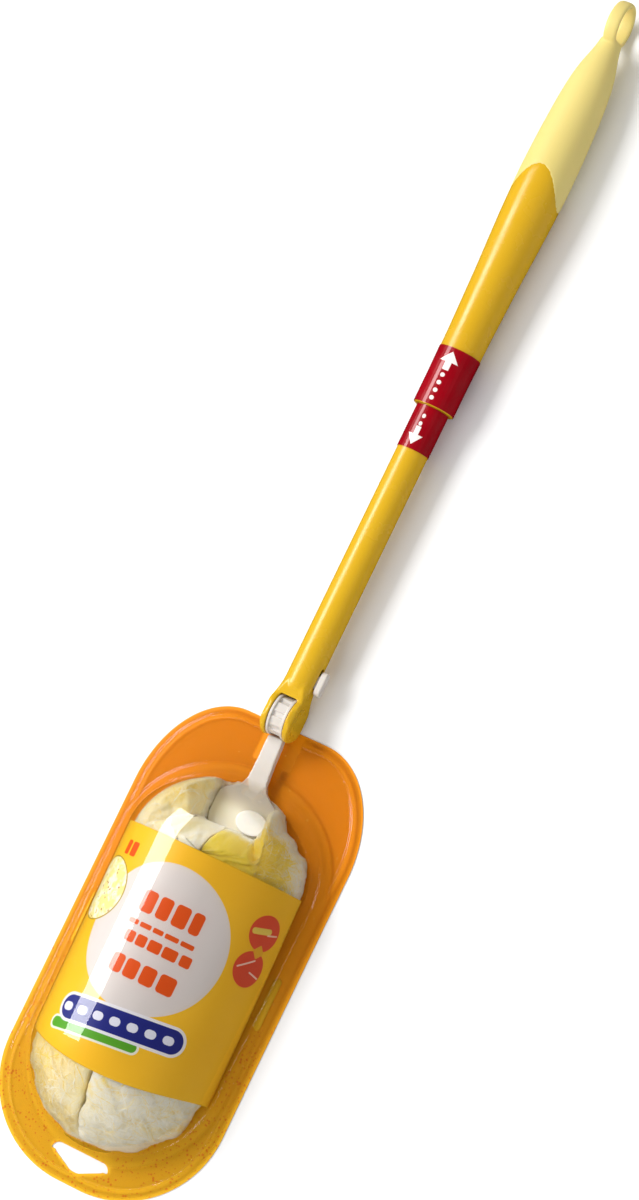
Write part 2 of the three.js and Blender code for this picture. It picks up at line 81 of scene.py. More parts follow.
class Mat:
    def __init__(self, name, **sockets):
        self.m = bpy.data.materials.new(name)
        self.m.use_nodes = True
        self.t = self.m.node_tree
        self.p = self.t.nodes["Principled BSDF"]
        for key, value in sockets.items():
            self.p.inputs[key.replace("_", " ")].default_value = value

    def node(self, kind, **props):
        n = self.t.nodes.new(kind)
        for key, value in props.items():
            setattr(n, key, value)
        return n

    def link(self, a, b):
        self.t.links.new(a, b)
        return b

    def put(self, sock, value):
        if isinstance(value, bpy.types.NodeSocket):
            self.t.links.new(value, sock)
        else:
            sock.default_value = value

    def pos(self):
        return self.node("ShaderNodeTexCoord").outputs["Object"]

    def xyz(self, vec=None):
        n = self.node("ShaderNodeSeparateXYZ")
        self.link(vec or self.pos(), n.inputs[0])
        return n.outputs[0], n.outputs[1], n.outputs[2]

    def vec(self, x, y, z):
        n = self.node("ShaderNodeCombineXYZ")
        for i, v in enumerate((x, y, z)):
            self.put(n.inputs[i], v)
        return n.outputs[0]

    def scaled(self, s, vec=None):
        n = self.node("ShaderNodeMapping")
        self.link(vec or self.pos(), n.inputs["Vector"])
        n.inputs["Scale"].default_value = s
        return n.outputs[0]

    def math(self, op, a, b=0.0, c=0.0, clamp=False):
        n = self.node("ShaderNodeMath", operation=op, use_clamp=clamp)
        self.put(n.inputs[0], a)
        self.put(n.inputs[1], b)
        if len(n.inputs) > 2:
            self.put(n.inputs[2], c)
        return n.outputs[0]

    def noise(self, scale, detail=3.0, rough=0.5, vec=None, dist=0.0):
        n = self.node("ShaderNodeTexNoise")
        n.inputs["Scale"].default_value = scale
        n.inputs["Detail"].default_value = detail
        n.inputs["Roughness"].default_value = rough
        n.inputs["Distortion"].default_value = dist
        self.link(vec or self.pos(), n.inputs["Vector"])
        return n.outputs["Fac"]

    def voronoi(self, scale, vec=None, feature="F1"):
        n = self.node("ShaderNodeTexVoronoi", feature=feature)
        n.inputs["Scale"].default_value = scale
        self.link(vec or self.pos(), n.inputs["Vector"])
        return n.outputs["Distance"]

    def steps(self, value, a, b, lo=0.0, hi=1.0):
        n = self.node("ShaderNodeMapRange", interpolation_type="SMOOTHSTEP")
        self.put(n.inputs["Value"], value)
        n.inputs["From Min"].default_value = a
        n.inputs["From Max"].default_value = b
        n.inputs["To Min"].default_value = lo
        n.inputs["To Max"].default_value = hi
        return n.outputs["Result"]

    def mix(self, fac, a, b):
        n = self.node("ShaderNodeMix", data_type="RGBA")
        self.put(n.inputs[0], fac)
        self.put(n.inputs[6], a)
        self.put(n.inputs[7], b)
        return n.outputs[2]

    def bump(self, height, distance, strength=1.0):
        n = self.node("ShaderNodeBump")
        n.inputs["Distance"].default_value = distance
        n.inputs["Strength"].default_value = strength
        self.link(height, n.inputs["Height"])
        self.link(n.outputs["Normal"], self.p.inputs["Normal"])
        return n

    def colour(self, value):
        self.put(self.p.inputs["Base Color"], value)
        return self

    def rough(self, value):
        self.put(self.p.inputs["Roughness"], value)
        return self


# ---- materials -----------------------------------------------------------------------------
def plastic(name, rgb, dark, rough=0.32, grain=900, depth=0.00003, sss=0.06):
    m = Mat(name, Subsurface_Weight=sss, Subsurface_Scale=0.004)
    m.p.inputs["Subsurface Radius"].default_value = (1.0, 0.6, 0.3)
    m.p.inputs["IOR"].default_value = 1.49
    flow = m.noise(18, 2, 0.5, m.scaled((0.25, 1, 1)))
    m.colour(m.mix(m.steps(flow, 0.3, 0.75), lin(rgb), lin(dark)))
    fine = m.noise(grain, 2, 0.5)
    m.rough(m.steps(m.noise(60, 3), 0.2, 0.8, rough - 0.05, rough + 0.07))
    m.bump(fine, depth)
    return m


def arm_material():
    """White arm whose root plate is frosted plastic, painted paler and yellowish with painted
    light: the lit fluff seen through it.
    """
    m = Mat("arm_plastic", Subsurface_Weight=0.2, Subsurface_Scale=0.004)
    m.p.inputs["Subsurface Radius"].default_value = (1.0, 0.7, 0.4)
    flow = m.steps(m.noise(18, 2, 0.5, m.scaled((0.25, 1, 1))), 0.3, 0.75)
    white = m.mix(flow, lin((214, 207, 200)), lin((206, 199, 190)))
    # root plate: frosted plastic whose pale, yellowish colour is painted light, standing in for
    # the lit yellow fluff seen through it
    frost_with_painted_glow = m.mix(m.noise(70, 3), lin((246, 242, 230)), lin((243, 231, 192)))
    m.colour(m.mix(m.steps(m.xyz()[0], 0.088, 0.104), frost_with_painted_glow, white))
    m.rough(m.steps(m.noise(60, 3), 0.2, 0.8, 0.31, 0.43))
    m.bump(m.noise(900, 2), 0.00003)
    return m


def card_material():
    m = Mat("printed_card")
    x, y, z = m.xyz()
    along = m.steps(x, -0.13, 0.10)
    cloud = m.noise(11, 3, 0.55)
    shade = m.math("ADD", along, m.math("MULTIPLY", m.math("SUBTRACT", cloud, 0.5), 0.35),
                   clamp=True)
    base = m.mix(shade, lin((236, 180, 32)), lin((236, 144, 12)))
    spot = m.voronoi(430)
    size = m.noise(150, 1, 0.5)
    dots = m.math("LESS_THAN", m.math("ADD", spot, m.math("MULTIPLY", size, 0.62)), 0.53)
    near = m.steps(m.math("ADD", x, m.math("MULTIPLY", cloud, 0.12)), 0.02, 0.10, 0.75, 0.0)
    base = m.mix(m.math("MULTIPLY", dots, near), base, lin((222, 112, 24)))
    light = m.math("LESS_THAN", m.voronoi(95), 0.06)
    base = m.mix(m.math("MULTIPLY", light, 0.5), base, lin((250, 190, 80)))
    paper = m.mix(m.noise(500, 2), lin((214, 205, 190)), lin((196, 186, 168)))
    back = m.math("LESS_THAN", z, (CARD_TOP - 0.25) * MM)
    m.colour(m.mix(back, base, paper))
    m.rough(m.steps(m.noise(200, 2), 0.3, 0.7, 0.32, 0.42))
    m.bump(m.noise(1200, 2), 0.00002)
    m.p.inputs["Specular IOR Level"].default_value = 0.3
    return m


def clear_material():
    m = Mat("clear_sheet")
    t = m.t
    t.nodes.remove(m.p)
    out = t.nodes["Material Output"]
    see = m.node("ShaderNodeBsdfTransparent")
    see.inputs["Color"].default_value = (0.975, 0.972, 0.965, 1)
    gloss = m.node("ShaderNodeBsdfAnisotropic")
    gloss.inputs["Color"].default_value = (1, 1, 1, 1)
    gloss.inputs["Roughness"].default_value = 0.04
    wave = m.node("ShaderNodeBump")
    wave.inputs["Distance"].default_value = 0.00022
    wave.inputs["Strength"].default_value = 0.5
    m.link(m.noise(22, 2, 0.4), wave.inputs["Height"])
    m.link(wave.outputs["Normal"], gloss.inputs["Normal"])
    fres = m.node("ShaderNodeFresnel")
    fres.inputs["IOR"].default_value = 1.55
    m.link(wave.outputs["Normal"], fres.inputs["Normal"])
    fac = m.math("MINIMUM", m.math("MULTIPLY_ADD", fres.outputs[0], 0.85, 0.01), 0.6)
    mixer = m.node("ShaderNodeMixShader")
    m.link(fac, mixer.inputs[0])
    m.link(see.outputs[0], mixer.inputs[1])
    m.link(gloss.outputs[0], mixer.inputs[2])
    m.link(mixer.outputs[0], out.inputs["Surface"])
    return m


# a print is painted in two coordinates: x along the pack, t round the dome, in mm
class Print:
    def __init__(self, mat, x, t, base):
        self.m, self.x, self.t, self.c = mat, x, t, base

    def local(self, cx, ct, deg=0.0):
        m = self.m
        dx = m.math("SUBTRACT", self.x, cx)
        dt = m.math("SUBTRACT", self.t, ct)
        if deg == 0:
            return dx, dt
        c, s = math.cos(math.radians(deg)), math.sin(math.radians(deg))
        u = m.math("ADD", m.math("MULTIPLY", dx, c), m.math("MULTIPLY", dt, s))
        v = m.math("SUBTRACT", m.math("MULTIPLY", dt, c), m.math("MULTIPLY", dx, s))
        return u, v

    def paint(self, mask, rgb, amount=1.0):
        col = lin(rgb) if isinstance(rgb, tuple) and len(rgb) == 3 else rgb
        if amount != 1.0:
            mask = self.m.math("MULTIPLY", mask, amount)
        self.c = self.m.mix(mask, self.c, col)

    def disc(self, cx, ct, r, rx=1.0, rt=1.0, deg=0.0):
        m = self.m
        u, v = self.local(cx, ct, deg)
        u = m.math("DIVIDE", u, rx)
        v = m.math("DIVIDE", v, rt)
        d = m.math("SQRT", m.math("ADD", m.math("MULTIPLY", u, u), m.math("MULTIPLY", v, v)))
        soft = 0.15 / max(1.0, min(rx, rt))
        return m.steps(d, r + soft, r - soft)

    def bar(self, cx, ct, hu, hv, r, deg=0.0):
        m = self.m
        u, v = self.local(cx, ct, deg)
        a = m.math("MAXIMUM", m.math("SUBTRACT", m.math("ABSOLUTE", u), hu - r), 0.0)
        b = m.math("MAXIMUM", m.math("SUBTRACT", m.math("ABSOLUTE", v), hv - r), 0.0)
        d = m.math("SQRT", m.math("ADD", m.math("MULTIPLY", a, a), m.math("MULTIPLY", b, b)))
        return m.steps(d, r + 0.12, r - 0.12)


def insert_material():
    m = Mat("insert_print")
    a = m.node("ShaderNodeAttribute", attribute_name="print")
    x, t, front = m.xyz(a.outputs["Vector"])
    cloud = m.noise(9, 2, 0.5)
    base = m.mix(m.steps(cloud, 0.3, 0.7), lin((246, 196, 44)), lin((240, 188, 38)))
    p = Print(m, x, t, base)
    p.paint(p.disc(2, 0, 45), (222, 214, 210))
    orange = (226, 88, 22)
    # greeked rows of copy on the disc
    for cx, ct, hu, hv in [(-19, 14, 5.6, 4.2), (-19, 4, 5.6, 4.4), (-19, -7, 5.6, 4.6),
                           (-19, -19, 5.6, 5.2)]:
        p.paint(p.bar(cx, ct, hu, hv, 2.2), orange)
    for ct, hv in [(14, 3.4), (6, 3.4), (-3, 4.2), (-13, 4.6), (-23, 3.4)]:
        p.paint(p.bar(-2.2, ct, 3.4, hv, 1.4), orange)
    for ct, hv in [(16, 3.4), (7.5, 3.8), (-1, 3.4), (-10, 4.4), (-20, 4.2)]:
        p.paint(p.bar(6.6, ct, 1.5, hv, 0.9), orange)
    for ct, hv in [(12.5, 4.6), (1.5, 4.2), (-9.5, 4.6), (-19.5, 3.4)]:
        p.paint(p.bar(20, ct, 6.6, hv, 2.2), orange)
    # a plain plaque with beads, and a strip beside it
    p.paint(p.bar(-62, 10, 4.4, 31, 4.2, 6), (238, 238, 226))
    p.paint(p.bar(-62, 10, 3.1, 29.6, 3.0, 6), (92, 168, 44))
    p.paint(p.bar(-50, -3, 9.0, 42, 8.8, 6), (238, 236, 240))
    p.paint(p.bar(-50, -3, 7.2, 40.2, 7.0, 6), (38, 44, 132))
    for ct in range(-34, 34, 11):
        p.paint(p.bar(-50 - 0.105 * (ct + 3), ct, 2.6, 3.4, 2.5, 6), (232, 232, 242))
    # two round pictograms joined by a small diamond, on the shoulder
    for cx, ct in [(32.5, -60), (10, -60.5)]:
        p.paint(p.disc(cx, ct, 11), (222, 84, 52))
    p.paint(p.bar(33, -57.5, 1.9, 7, 1.9, 14), (232, 206, 92))
    p.paint(p.bar(33, -66, 0.5, 4, 0.4, 14), (240, 200, 170))
    p.paint(p.bar(12.5, -57, 0.5, 6.5, 0.4, 35), (244, 210, 190))
    p.paint(p.bar(7.8, -66, 0.5, 4.5, 0.4, -10), (244, 210, 190))
    p.paint(p.bar(21.2, -61.5, 3.1, 3.1, 0.6, 45), (232, 176, 44))
    # round inset picture with soft blotches, and a small mark above it
    p.paint(p.disc(17, 52, 20.5), (176, 150, 40))
    p.paint(p.disc(17, 52, 19.6), (238, 226, 150))
    vec = m.vec(x, t, 0.0)
    patch = m.noise(0.16, 3, 0.55, vec)
    inside = p.disc(17, 52, 19.6)
    p.paint(m.math("MULTIPLY", inside, m.steps(patch, 0.45, 0.6)), (246, 242, 224))
    p.paint(m.math("MULTIPLY", inside, m.steps(patch, 0.62, 0.68)), (226, 170, 30))
    specks = m.math("LESS_THAN", m.voronoi(0.25, vec), 0.16)
    p.paint(m.math("MULTIPLY", inside, specks), (170, 110, 40))
    for ct, hv in [(46.5, 2.2), (40, 2.8)]:
        p.paint(p.bar(44, ct, 4.4, hv, 1.2), orange)
    paper = m.mix(m.noise(500, 2), lin((222, 216, 204)), lin((206, 198, 184)))
    m.colour(m.mix(m.math("LESS_THAN", front, 0.5), p.c, paper))
    m.rough(m.steps(m.noise(160, 2), 0.3, 0.7, 0.34, 0.44))
    m.bump(m.noise(900, 2), 0.00002)
    m.p.inputs["Specular IOR Level"].default_value = 0.3
    return m


def fibre_material(name, a, b, toned, soft=0.5):
    m = Mat(name, Roughness=0.85, Subsurface_Weight=soft, Subsurface_Scale=0.011,
            Sheen_Weight=0.3, Sheen_Roughness=0.5)
    m.p.inputs["Subsurface Radius"].default_value = (1.0, 0.92, 0.7)
    fine = m.noise(160, 4, 0.65, m.scaled((0.6, 1.4, 1)), 1.2)
    if toned:
        att = m.node("ShaderNodeAttribute", attribute_name="tone").outputs["Fac"]
        f = m.math("ADD", att, m.math("MULTIPLY", m.math("SUBTRACT", fine, 0.5), 0.35),
                   clamp=True)
    else:
        f = m.steps(fine, 0.4, 0.7)
    m.colour(m.mix(f, lin(a), lin(b)))
    wisp = m.noise(420, 5, 0.7, m.scaled((0.5, 1, 1)), 2.0)
    m.bump(m.math("ADD", m.math("MULTIPLY", wisp, 0.5), m.math("MULTIPLY", fine, 0.8)), 0.0005)
    return m


def label_material():
    m = Mat("red_label")
    x, y, z = m.xyz()
    ang = m.math("ARCTAN2", y, m.math("SUBTRACT", z, PZ * MM))
    w = m.math("MULTIPLY", ang, 12.0)
    s = m.math("SUBTRACT", m.math("MULTIPLY", x, 1000.0), PX)
    cloud = m.noise(40, 2)
    base = m.mix(m.steps(cloud, 0.3, 0.7), lin((156, 0, 19)), lin((144, 0, 16)))
    p = Print(m, s, w, base)
    white = (238, 232, 226)
    for tip, sign in [(176.5, 1), (236.5, -1)]:
        d = m.math("MULTIPLY", m.math("SUBTRACT", s, tip), float(sign))
        head = m.math("LESS_THAN", m.math("ABSOLUTE", w), m.math("MULTIPLY", d, 0.85))
        head = m.math("MULTIPLY", head, m.math("LESS_THAN", d, 6.6))
        p.paint(head, white)
        p.paint(p.bar(tip + sign * 8.6, 0, 3.2, 1.9, 0.3), white)
    for cs in (190.0, 195.0, 206.5, 211.5, 216.5, 221.5):
        p.paint(p.bar(cs, 0, 1.3, 1.3, 1.2), white)
    m.colour(p.c)
    m.rough(m.steps(m.noise(120, 2), 0.3, 0.7, 0.2, 0.27))
    m.bump(m.noise(700, 2), 0.00002)
    return m


def steel_material():
    m = Mat("drawn_steel", Metallic=1.0)
    m.colour(m.mix(m.noise(300, 3), lin((170, 170, 172)), lin((140, 140, 144))))
    m.rough(m.steps(m.noise(500, 2), 0.3, 0.7, 0.25, 0.4))
    m.bump(m.noise(1500, 2), 0.00001)
    return m


YELLOW = plastic("yellow_plastic", (216, 172, 34), (210, 164, 28), 0.24)
AMBER = plastic("amber_plastic", (206, 146, 28), (190, 130, 22), 0.4)
WHITE = plastic("white_plastic", (214, 207, 200), (206, 199, 190), 0.34, sss=0.15)
GRIP_MAT = plastic("grip_rubber", (230, 211, 132), (223, 203, 118), 0.52, 1400, 0.00005, 0.12)
ARM = arm_material()
FROST = plastic("frosted_plastic", (255, 253, 248), (252, 248, 240), 0.3, sss=0.2)
SLEEVE = fibre_material("nonwoven_sheet", (238, 232, 212), (226, 218, 190), False)
RED = label_material()
STEEL = steel_material()
CARD_MAT = card_material()
CLEAR = clear_material()
INSERT = insert_material()
FLUFF = fibre_material("fluff_fibre", (255, 250, 234), (255, 220, 76), True)
STRAND = fibre_material("fluff_strand", (255, 252, 240), (255, 224, 84), True, 0.0)

KEPT = {"pivot_pin": STEEL, "pivot_cap_left": YELLOW, "pivot_cap_right": YELLOW,
        "friction_bush": WHITE, "tube_end_plug": WHITE, "spring_seat": WHITE,
        "label_lower": RED, "lock_pawl": WHITE, "pawl_spring": STEEL, "mouth_bush": AMBER,
        "label_upper": RED}


# ---- mesh helpers --------------------------------------------------------------------------
def make(name, verts, faces, mat, body, smooth=True):
    me = bpy.data.meshes.new(name)
    me.from_pydata([tuple(v) for v in np.asarray(verts) * MM], [], [list(f) for f in faces])
    me.update()
    o = bpy.data.objects.new(name, me)
    bpy.context.scene.collection.objects.link(o)
    if mat is not None:
        me.materials.append(mat.m)
    if smooth:
        shade_smooth(me)
    if body:
        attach(o, body)
    return o


def paint(o, mat):
    o.data.materials.clear()
    o.data.materials.append(mat.m)


def shade_smooth(me):
    for poly in me.polygons:
        poly.use_smooth = True


def move_to(o, p):
    """Put the mesh's vertices at p (n x 3, mm)."""
    o.data.vertices.foreach_set("co", (p * MM).astype(np.float32).ravel())


def apply_modifiers(o):
    dg = bpy.context.evaluated_depsgraph_get()
    me = bpy.data.meshes.new_from_object(o.evaluated_get(dg))
    o.modifiers.clear()
    o.data = me
    return o


def grid_faces(n, m, wrap=False, flip=False):
    faces = []
    for i in range(n if wrap else n - 1):
        j = (i + 1) % n
        for k in range(m - 1):
            f = (i * m + k, j * m + k, j * m + k + 1, i * m + k + 1)
            faces.append(f[::-1] if flip else f)
    return faces


# ---- backing card --------------------------------------------------------------------------
def card_outline(inset, n=40):
    w = CARD[1][1] - inset
    l = CARD[1][0] - inset
    half = []
    for i in range(n + 1):
        t = math.pi / 2 * i / n
        ax, ay = 64.9 - inset, 46.1 - inset
        half.append((l - ax + ax * math.cos(t), w - ay + ay * math.sin(t)))
    for i in range(n + 1):
        t = math.pi / 2 * i / n
        bx, by = 64.0 - inset, 65.7 - inset
        half.append((-l + bx - bx * math.sin(t), w - by + by * math.cos(t)))
    return half + [(x, -y) for x, y in reversed(half)]


SLOT_X = CARD[0][0] + 16.5


def slot_outline(grow):
    h, a = 19 + grow, 4 + grow
    half = [(a, 0.0), (a, h - 5)]
    for i in range(1, 9):
        t = math.pi / 2 * i / 8
        half.append((a - 5 + 5 * math.cos(t), h - 5 + 5 * math.sin(t)))
    half += [(-1 - grow, h - 2.6), (-1.9 - grow, h - 3.7), (-7.0 - grow, 5), (-7.8 - grow, 3.4),
             (-8.2 - grow, 1.6)]
    pts = [(SLOT_X + x, y) for x, y in half]
    return pts + [(x, -y) for x, y in reversed(pts[1:])]


def card_piece():
    cu = bpy.data.curves.new("card_curve", "CURVE")
    cu.dimensions = "2D"
    cu.fill_mode = "BOTH"
    for pts in (card_outline(0.12), slot_outline(0.12)):
        sp = cu.splines.new("POLY")
        sp.points.add(len(pts) - 1)
        for q, (x, y) in zip(sp.points, pts):
            q.co = (x * MM, y * MM, 0, 1)
        sp.use_cyclic_u = True
    cu.extrude = (CARD_TOP / 2 - 0.12) * MM
    cu.bevel_depth = 0.12 * MM
    cu.bevel_resolution = 1
    tmp = bpy.data.objects.new("card_tmp", cu)
    bpy.context.scene.collection.objects.link(tmp)
    tmp.location = (0, 0, CARD_TOP / 2 * MM)
    bpy.context.view_layer.update()
    me = bpy.data.meshes.new_from_object(tmp.evaluated_get(bpy.context.evaluated_depsgraph_get()))
    me.transform(tmp.matrix_world)
    bpy.data.objects.remove(tmp)
    o = bpy.data.objects.new("backing_card_print", me)
    bpy.context.scene.collection.objects.link(o)
    me.materials.clear()
    me.materials.append(CARD_MAT.m)
    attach(o, "pack_card")
    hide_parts("backing_card")
    return o


# ---- the dome's form: a point at height angle e on ray (m, a) --------------------------------
def rays(n_end, n_side):
    out = []
    for i in range(n_end):
        out.append((M1, R1, -90 + 180 * i / n_end))
    for i in range(n_side):
        t = i / n_side
        out.append((M1 + (M0 - M1) * t, R1 + (R0 - R1) * t, 90.0))
    for i in range(n_end):
        out.append((M0, R0, 90 + 180 * i / n_end))
    for i in range(n_side):
        t = i / n_side
        out.append((M0 + (M1 - M0) * t, R0 + (R1 - R0) * t, 270.0))
    return out


def dome_point(m, r, deg, e, off=0.0, base=BASE, top=None):
    a = math.radians(deg)
    along = (X1 - M1) / R1 if math.cos(a) > 0 else (M0 - X0) / R0
    rr = (r + off) * math.cos(e) ** SQUARE
    h = (DOME_TOP if top is None else top) + off - base
    return (m + along * rr * math.cos(a), rr * math.sin(a), base + h * math.sin(e) ** SQUARE)


def ray_to_outline(m, deg, outline):
    a = math.radians(deg)
    d = (math.cos(a), math.sin(a))
    best = None
    for (x0, y0), (x1, y1) in zip(outline, outline[1:] + outline[:1]):
        ex, ey = x1 - x0, y1 - y0
        det = d[0] * (-ey) + ex * d[1]
        if abs(det) < 1e-9:
            continue
        bx, by = x0 - m, y0
        s = (bx * (-ey) + ex * by) / det
        t = (d[0] * by - d[1] * bx) / det
        if s > 0 and -1e-6 <= t <= 1 + 1e-6:
            best = s if best is None else min(best, s)
    return best


def smooth(a, b, x):
    t = min(1, max(0, (x - a) / (b - a)))
    return t * t * (3 - 2 * t)


def blister_piece():
    cols = rays(56, 26)
    edge = card_outline(1.5, 60)
    up, out = 44, 56
    verts = []
    for m, r, deg in cols:
        a = math.radians(deg)
        along = (X1 - M1) / R1 if math.cos(a) > 1e-9 else (M0 - X0) / R0
        bx, by = along * r * math.cos(a), r * math.sin(a)
        phi = math.degrees(math.atan2(by, bx))
        start = math.hypot(bx, by)
        for k in range(up + 1):
            e = math.pi / 2 * (1 - k / up)
            p = dome_point(m, r, deg, e)
            verts.append((p[0], p[1], max(p[2], FILM_Z)))
        far = ray_to_outline(m, phi, edge)
        c, s = math.cos(math.radians(phi)), math.sin(math.radians(phi))
        for k in range(1, out + 1):
            d = start + (far - start) * k / out
            z = FILM_Z - (FILM_Z - SEAL_Z) * smooth(start + 5.9, start + 7.1, d)
            near_edge = far - d + 1.5
            z = max(z, SEAL_Z + 1.4 * smooth(3.9, 4.9, near_edge) * smooth(7.5, 6.5, near_edge))
            verts.append((m + d * c, d * s, z))
    faces = grid_faces(len(cols), up + out + 1, wrap=True)
    o = make("blister_clear", verts, faces, CLEAR, None)
    bm = bmesh.new()
    bm.from_mesh(o.data)
    bmesh.ops.remove_doubles(bm, verts=bm.verts, dist=1e-6)

    def cut(planes, test, reach):
        for co, no in planes:
            near = [f for f in bm.faces if reach(f.calc_center_median() * 1000)]
            geom = near + list({e for f in near for e in f.edges}) + \
                list({v for f in near for v in f.verts})
            bmesh.ops.bisect_plane(bm, geom=geom, plane_co=Vector(co) * MM, plane_no=Vector(no),
                                   dist=1e-7)
        gone = [f for f in bm.faces if test(f.calc_center_median() * 1000)]
        bmesh.ops.delete(bm, geom=gone, context="FACES")

    cut([((0, 8.6, 0), (0, 1, 0)), ((0, -8.6, 0), (0, 1, 0)), ((0, 0, 17), (0, 0, 1))],
        lambda c: abs(c.y) < 8.6 and c.z < 17 and c.x > 98,
        lambda c: abs(c.y) < 12 and c.z < 22 and c.x > 94)
    cut([((0, 13, 0), (0, 1, 0)), ((0, -13, 0), (0, 1, 0)), ((124, 0, 0), (1, 0, 0))],
        lambda c: abs(c.y) < 13 and c.x > 124,
        lambda c: abs(c.y) < 17 and c.x > 118)
    pts = slot_outline(1.2)
    planes = []
    for (x0, y0), (x1, y1) in zip(pts, pts[1:] + pts[:1]):
        if math.hypot(x1 - x0, y1 - y0) > 0.2:
            planes.append(((x0, y0, 0), Vector((y1 - y0, x0 - x1, 0)).normalized()))

    def in_slot(c):
        inside = False
        for (x0, y0), (x1, y1) in zip(pts, pts[1:] + pts[:1]):
            if (y0 > c.y) != (y1 > c.y) and c.x < (x1 - x0) * (c.y - y0) / (y1 - y0) + x0:
                inside = not inside
        return inside

    cut(planes, in_slot, lambda c: SLOT_X - 12 < c.x < SLOT_X + 8 and abs(c.y) < 23)
    bmesh.ops.recalc_face_normals(bm, faces=bm.faces)
    bm.to_mesh(o.data)
    bm.free()
    shade_smooth(o.data)
    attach(o, "blister")
    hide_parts("blister_shell")
    return o


# ---- insert card, with its flat coordinates kept for the print --------------------------------
def insert_piece():
    nx, ne = 150, 81
    off = -1.1
    verts = []
    for i in range(nx):
        for k in range(ne):
            u = -1 + 2 * k / (ne - 1)
            side = 1 if u >= 0 else -1
            low = 0.0 if side > 0 else 0.24 * i / (nx - 1)
            e = low + (math.pi / 2 - low) * (1 - abs(u))
            y_guess = side * 60 * math.cos(e)
            lo = -72 - 9 * (1 - (y_guess / 60) ** 2)
            x = lo + (59 - lo) * i / (nx - 1)
            f = (x - M0) / (M1 - M0)
            r = R0 + (R1 - R0) * min(1, max(0, f))
            h = DOME_TOP + off - BASE
            if x < M0:
                g = math.sqrt(max(0, 1 - ((M0 - x) / (R0 + off)) ** 2))
            else:
                g = 1.0
            y = side * (r + off) * g * math.cos(e) ** SQUARE
            z = BASE + h * (g ** SQUARE if g < 1 else 1) * math.sin(e) ** SQUARE
            verts.append((x, y, z))
    v = np.array(verts).reshape(nx, ne, 3)
    mid = ne // 2
    t = np.zeros((nx, ne))
    for k in range(mid + 1, ne):
        t[:, k] = t[:, k - 1] + np.linalg.norm((v[:, k] - v[:, k - 1])[:, 1:], axis=1)
    for k in range(mid - 1, -1, -1):
        t[:, k] = t[:, k + 1] - np.linalg.norm((v[:, k] - v[:, k + 1])[:, 1:], axis=1)
    n = nx * ne
    inner = v.copy()
    cy = v[..., 1]
    cz = v[..., 2] - 8
    ln = np.sqrt(cy ** 2 + cz ** 2)
    inner[..., 1] -= 0.45 * cy / ln
    inner[..., 2] -= 0.45 * cz / ln
    allv = np.concatenate([v.reshape(-1, 3), inner.reshape(-1, 3)])
    faces = grid_faces(nx, ne)
    faces += [tuple(n + q for q in f[::-1]) for f in grid_faces(nx, ne)]
    for i in range(nx - 1):
        for k in (0, ne - 1):
            a, b = i * ne + k, (i + 1) * ne + k
            faces.append((a, b, n + b, n + a) if k else (b, a, n + a, n + b))
    for k in range(ne - 1):
        for i in (0, nx - 1):
            a, b = i * ne + k, i * ne + k + 1
            faces.append((b, a, n + a, n + b) if i else (a, b, n + b, n + a))
    tv, tf, tt = [], [], []
    for sy in (1, -1):
        out = []
        for cx, cyy, a0 in ((10.8, 62.5, 0), (-17.8, 62.5, 90), (-17.8, 60.1, 180),
                            (10.8, 60.1, 270)):
            for q in range(7):
                a = math.radians(a0 + 15 * q)
                rr = 2.2 if a0 < 180 else 0.4
                out.append((cx + rr * math.cos(a), cyy + rr * math.sin(a)))
        b0 = len(allv) + len(tv)
        for z in (BASE, BASE + 0.5):
            for x, y in out:
                tv.append((x, sy * y, z))
                tt.append((x, sy * (82 + y - 59), 1.0))
        c = len(out)
        lowf = [b0 + q for q in range(c)]
        topf = [b0 + c + q for q in range(c)]
        tf.append(lowf if sy < 0 else lowf[::-1])
        tf.append(topf[::-1] if sy < 0 else topf)
        for q in range(c):
            w = (q + 1) % c
            f = (b0 + q, b0 + w, b0 + c + w, b0 + c + q)
            tf.append(f[::-1] if sy < 0 else f)
    allv = np.concatenate([allv, np.array(tv)])
    o = make("insert_print", allv, faces + tf, INSERT, None)
    att = o.data.attributes.new("print", "FLOAT_VECTOR", "POINT")
    vals = np.zeros((len(allv), 3), np.float32)
    vals[:n, 0] = v[..., 0].ravel()
    vals[:n, 1] = t.ravel()
    vals[:n, 2] = 1
    vals[n:2 * n, 0] = v[..., 0].ravel()
    vals[n:2 * n, 1] = t.ravel()
    vals[2 * n:] = np.array(tt)
    att.data.foreach_set("vector", vals.ravel())
    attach(o, "blister")
    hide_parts("insert_card")
    return o


# ---- fluff: slumped lobes with fine fibres lying along them -----------------------------------
def wobble(p, freq, seed):
    """Smooth seeded noise between about -1 and 1 at points p (n x 3, mm)."""
    v = np.zeros(len(p))
    for i, (f, w) in enumerate(((1.0, 1.0), (2.1, 0.55), (4.3, 0.28))):
        s = seed * 1.7 + i * 2.3
        q = p * f * freq
        v += w * np.sin(q[:, 0] * 1.3 + s + 1.3 * np.sin(q[:, 1] + s)) * \
            np.cos(q[:, 1] * 1.2 - s + 0.9 * np.sin(q[:, 2] * 1.1 + 0.7 * q[:, 0]))
    return v / 1.5


def in_dome(p, off):
    """How far out each point is, as a share of the dome's own reach at that height."""
    base, top = CARD_TOP + 2.6, DOME_TOP + off
    s = np.clip((p[:, 2] - base) / (top - base), 0, 1) ** (1 / SQUARE)
    c = np.sqrt(np.clip(1 - s * s, 0, 1)) ** SQUARE
    m = np.clip(p[:, 0], M0, M1)
    r = R0 + (R1 - R0) * (m - M0) / (M1 - M0) + off
    along = np.where(p[:, 0] > M1, (X1 - M1) / R1, (M0 - X0) / R0)
    rho = np.hypot((p[:, 0] - m) / along, p[:, 1])
    return rho / np.maximum(r * c, 1e-3), m


# each lobe's yellowness and seed, and the ribbons laid on each lobe
STRANDS, STEPS = 1400, 8
TONES = {"fluff_arm_left": (0.36, 1), "fluff_arm_right": (0.92, 2), "fluff_mid_left": (0.4, 3),
         "fluff_mid_right": (0.45, 4), "fluff_tip_left": (0.52, 5), "fluff_tip_right": (0.10, 6)}


